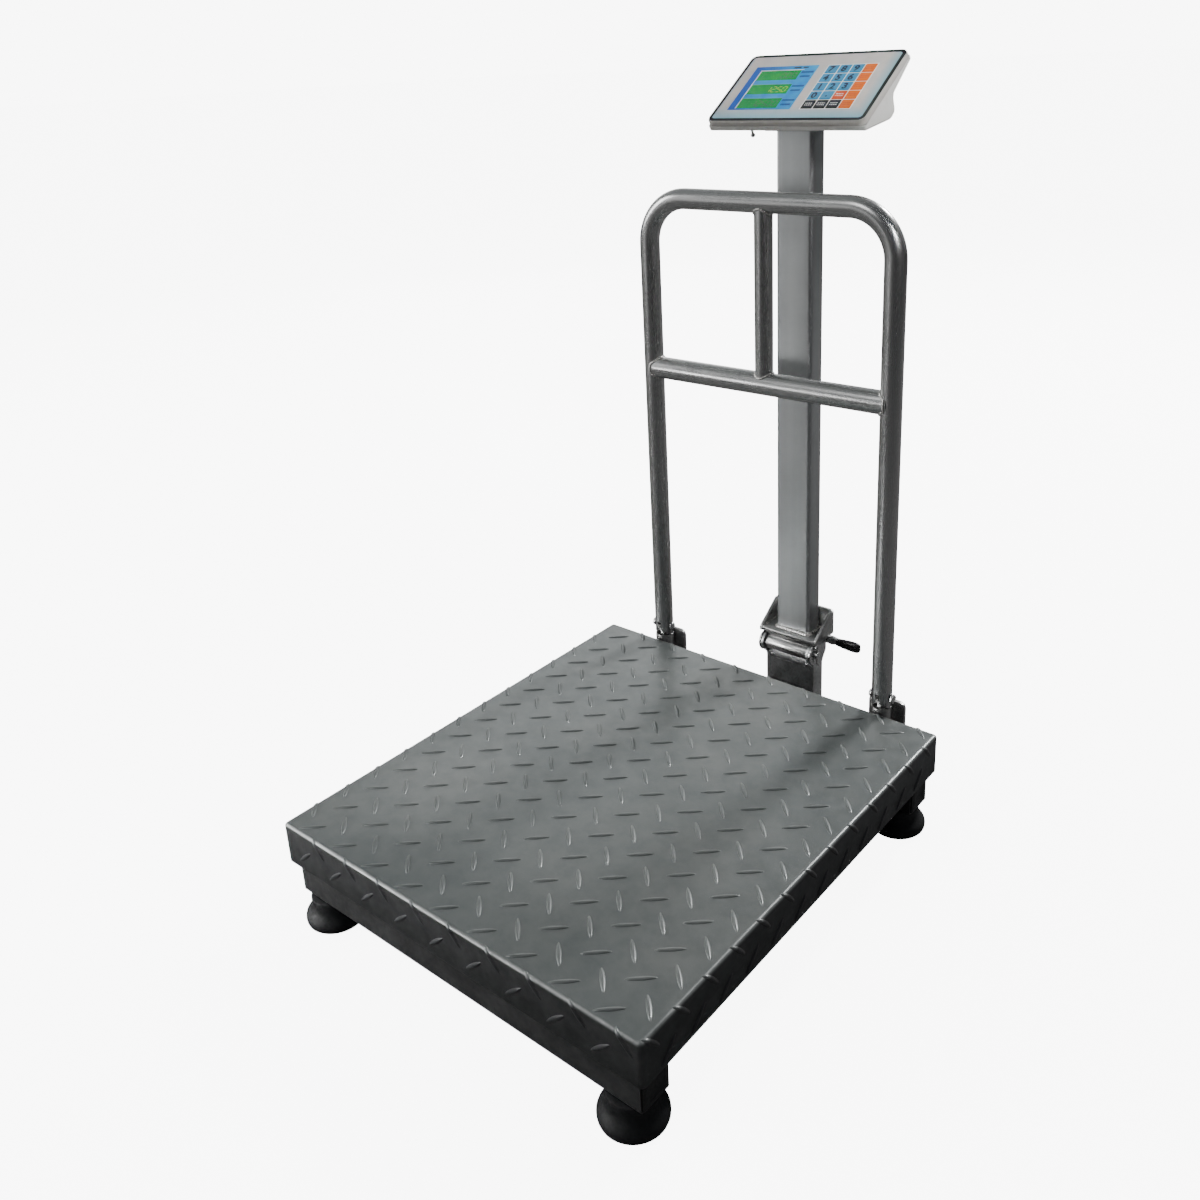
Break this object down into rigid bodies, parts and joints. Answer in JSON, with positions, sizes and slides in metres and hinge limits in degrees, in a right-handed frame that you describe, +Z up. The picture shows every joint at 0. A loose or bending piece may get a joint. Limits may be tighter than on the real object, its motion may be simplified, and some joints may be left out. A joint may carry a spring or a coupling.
{
  "type": "platform scale",
  "caption": "Electronic floor platform scale: tread-plate weighing deck on levelling feet, rear guard rail, and a folding column with a tilted price-computing display head.",
  "frame": {"origin": "centre of the overall footprint, on the floor", "axes": "+Z up, the front of the weighing platform faces -Y, +X runs across it to the right of someone facing the display"},
  "size_m": [0.5, 0.7368, 0.8898],
  "materials": {
    "base_steel": "dark grey coated steel tube",
    "battery_black": "black battery case",
    "black_plastic": "moulded black plastic",
    "black_rubber": "moulded black rubber",
    "bracket_steel": "satin plate steel",
    "bright_zinc": "bright zinc plated steel",
    "case_plastic": "pale moulded case",
    "circuit_board": "green solder-masked board",
    "frame_steel": "dark coated steel",
    "key_black": "black key",
    "key_blue": "pale blue key",
    "key_orange": "orange key",
    "key_red": "red key",
    "lcd_green": "green reflective display window",
    "load_cell_aluminium": "machined aluminium bar",
    "panel_film": "printed panel film",
    "satin_stainless": "satin ground stainless tube",
    "tread_plate": "pressed tread-plate steel, grey coat"
  },
  "bodies": {
    "root": {"base_front_beam": "base_steel", "base_rear_beam": "base_steel", "base_spine": "base_steel", "cover_pan": "tread_plate", "guard_bolt_left": "bright_zinc", "guard_bolt_right": "bright_zinc", "guard_lug_left": "bracket_steel", "guard_lug_right": "bracket_steel", "hinge_pin": "bright_zinc", "hinge_washer": "bright_zinc", "load_cell": "load_cell_aluminium", "load_cell_spacer": "bright_zinc", "lower_post": "bracket_steel", "mast_outrigger": "base_steel", "split_pin": "bright_zinc", "top_frame_centre": "frame_steel", "top_frame_front": "frame_steel", "top_frame_left": "frame_steel", "top_frame_rear": "frame_steel", "top_frame_right": "frame_steel"},
    "mast": {"upper_bracket": "bracket_steel", "column_post": "satin_stainless", "head_mount_plate": "bracket_steel", "head_bezel": "case_plastic", "overlay_panel": "panel_film", "lcd_display": "lcd_green", "main_board": "circuit_board", "battery": "battery_black", "head_rear_shell": "case_plastic"},
    "guard": {"guard_hoop": "satin_stainless", "guard_crossbar": "satin_stainless", "guard_strut": "satin_stainless"},
    "clamp": {"clamp_bolt": "bright_zinc", "clamp_lever": "bright_zinc", "lever_grip": "black_plastic"},
    "foot_front_left": {"foot_front_left": "black_rubber"},
    "foot_front_right": {"foot_front_right": "black_rubber"},
    "foot_rear_left": {"foot_rear_left": "black_rubber"},
    "foot_rear_right": {"foot_rear_right": "black_rubber"},
    "power_switch": {"power_switch": "bright_zinc"},
    "key_0": {"key_0": "key_blue"},
    "key_1": {"key_1": "key_blue"},
    "key_2": {"key_2": "key_blue"},
    "key_3": {"key_3": "key_blue"},
    "key_4": {"key_4": "key_blue"},
    "key_5": {"key_5": "key_blue"},
    "key_6": {"key_6": "key_blue"},
    "key_7": {"key_7": "key_blue"},
    "key_8": {"key_8": "key_blue"},
    "key_9": {"key_9": "key_blue"},
    "key_clear": {"key_clear": "key_red"},
    "key_dot": {"key_dot": "key_blue"},
    "key_memory_1": {"key_memory_1": "key_orange"},
    "key_memory_2": {"key_memory_2": "key_orange"},
    "key_memory_3": {"key_memory_3": "key_orange"},
    "key_memory_4": {"key_memory_4": "key_orange"},
    "key_memory_5": {"key_memory_5": "key_orange"},
    "key_tare": {"key_tare": "key_black"},
    "key_total": {"key_total": "key_black"},
    "key_zero": {"key_zero": "key_black"}
  },
  "joints": [
    {"name": "mast_fold", "type": "hinge", "parent": "root", "child": "mast", "pos_m": [0, 0.2772, 0.1304], "axis": [1, 0, 0], "range_deg": [0, 87]},
    {"name": "guard_fold", "type": "hinge", "parent": "root", "child": "guard", "pos_m": [0, 0.2191, 0.141], "axis": [1, 0, 0], "range_deg": [0, 90]},
    {"name": "clamp_turn", "type": "hinge", "parent": "root", "child": "clamp", "pos_m": [0, 0.3176, 0.136], "axis": [0, 1, 0], "range_deg": [0, 90]},
    {"name": "foot_front_left_level", "type": "slide", "parent": "root", "child": "foot_front_left", "axis": [0, 0, 1], "range_m": [-0.01, 0]},
    {"name": "foot_front_right_level", "type": "slide", "parent": "root", "child": "foot_front_right", "axis": [0, 0, 1], "range_m": [-0.01, 0]},
    {"name": "foot_rear_left_level", "type": "slide", "parent": "root", "child": "foot_rear_left", "axis": [0, 0, 1], "range_m": [-0.01, 0]},
    {"name": "foot_rear_right_level", "type": "slide", "parent": "root", "child": "foot_rear_right", "axis": [0, 0, 1], "range_m": [-0.01, 0]},
    {"name": "power_switch_rock", "type": "hinge", "parent": "mast", "child": "power_switch", "pos_m": [-0.055, 0.27987, 0.80956], "axis": [1, 0, 0], "range_deg": [-20, 0]},
    {"name": "key_0_press", "type": "slide", "parent": "mast", "child": "key_0", "axis": [0, 0.5592, -0.829], "range_m": [0, 0.0008], "stiffness_N_per_m": 500, "springref_m": -0.0005},
    {"name": "key_1_press", "type": "slide", "parent": "mast", "child": "key_1", "axis": [0, 0.5592, -0.829], "range_m": [0, 0.0008], "stiffness_N_per_m": 500, "springref_m": -0.0005},
    {"name": "key_2_press", "type": "slide", "parent": "mast", "child": "key_2", "axis": [0, 0.5592, -0.829], "range_m": [0, 0.0008], "stiffness_N_per_m": 500, "springref_m": -0.0005},
    {"name": "key_3_press", "type": "slide", "parent": "mast", "child": "key_3", "axis": [0, 0.5592, -0.829], "range_m": [0, 0.0008], "stiffness_N_per_m": 500, "springref_m": -0.0005},
    {"name": "key_4_press", "type": "slide", "parent": "mast", "child": "key_4", "axis": [0, 0.5592, -0.829], "range_m": [0, 0.0008], "stiffness_N_per_m": 500, "springref_m": -0.0005},
    {"name": "key_5_press", "type": "slide", "parent": "mast", "child": "key_5", "axis": [0, 0.5592, -0.829], "range_m": [0, 0.0008], "stiffness_N_per_m": 500, "springref_m": -0.0005},
    {"name": "key_6_press", "type": "slide", "parent": "mast", "child": "key_6", "axis": [0, 0.5592, -0.829], "range_m": [0, 0.0008], "stiffness_N_per_m": 500, "springref_m": -0.0005},
    {"name": "key_7_press", "type": "slide", "parent": "mast", "child": "key_7", "axis": [0, 0.5592, -0.829], "range_m": [0, 0.0008], "stiffness_N_per_m": 500, "springref_m": -0.0005},
    {"name": "key_8_press", "type": "slide", "parent": "mast", "child": "key_8", "axis": [0, 0.5592, -0.829], "range_m": [0, 0.0008], "stiffness_N_per_m": 500, "springref_m": -0.0005},
    {"name": "key_9_press", "type": "slide", "parent": "mast", "child": "key_9", "axis": [0, 0.5592, -0.829], "range_m": [0, 0.0008], "stiffness_N_per_m": 500, "springref_m": -0.0005},
    {"name": "key_clear_press", "type": "slide", "parent": "mast", "child": "key_clear", "axis": [0, 0.5592, -0.829], "range_m": [0, 0.0008], "stiffness_N_per_m": 500, "springref_m": -0.0005},
    {"name": "key_dot_press", "type": "slide", "parent": "mast", "child": "key_dot", "axis": [0, 0.5592, -0.829], "range_m": [0, 0.0008], "stiffness_N_per_m": 500, "springref_m": -0.0005},
    {"name": "key_memory_1_press", "type": "slide", "parent": "mast", "child": "key_memory_1", "axis": [0, 0.5592, -0.829], "range_m": [0, 0.0008], "stiffness_N_per_m": 500, "springref_m": -0.0005},
    {"name": "key_memory_2_press", "type": "slide", "parent": "mast", "child": "key_memory_2", "axis": [0, 0.5592, -0.829], "range_m": [0, 0.0008], "stiffness_N_per_m": 500, "springref_m": -0.0005},
    {"name": "key_memory_3_press", "type": "slide", "parent": "mast", "child": "key_memory_3", "axis": [0, 0.5592, -0.829], "range_m": [0, 0.0008], "stiffness_N_per_m": 500, "springref_m": -0.0005},
    {"name": "key_memory_4_press", "type": "slide", "parent": "mast", "child": "key_memory_4", "axis": [0, 0.5592, -0.829], "range_m": [0, 0.0008], "stiffness_N_per_m": 500, "springref_m": -0.0005},
    {"name": "key_memory_5_press", "type": "slide", "parent": "mast", "child": "key_memory_5", "axis": [0, 0.5592, -0.829], "range_m": [0, 0.0008], "stiffness_N_per_m": 500, "springref_m": -0.0005},
    {"name": "key_tare_press", "type": "slide", "parent": "mast", "child": "key_tare", "axis": [0, 0.5592, -0.829], "range_m": [0, 0.0008], "stiffness_N_per_m": 500, "springref_m": -0.0005},
    {"name": "key_total_press", "type": "slide", "parent": "mast", "child": "key_total", "axis": [0, 0.5592, -0.829], "range_m": [0, 0.0008], "stiffness_N_per_m": 500, "springref_m": -0.0005},
    {"name": "key_zero_press", "type": "slide", "parent": "mast", "child": "key_zero", "axis": [0, 0.5592, -0.829], "range_m": [0, 0.0008], "stiffness_N_per_m": 500, "springref_m": -0.0005}
  ],
  "couplings": [
    {"joint": "guard_fold", "follows": "mast_fold", "ratio": 1.034}
  ]
}
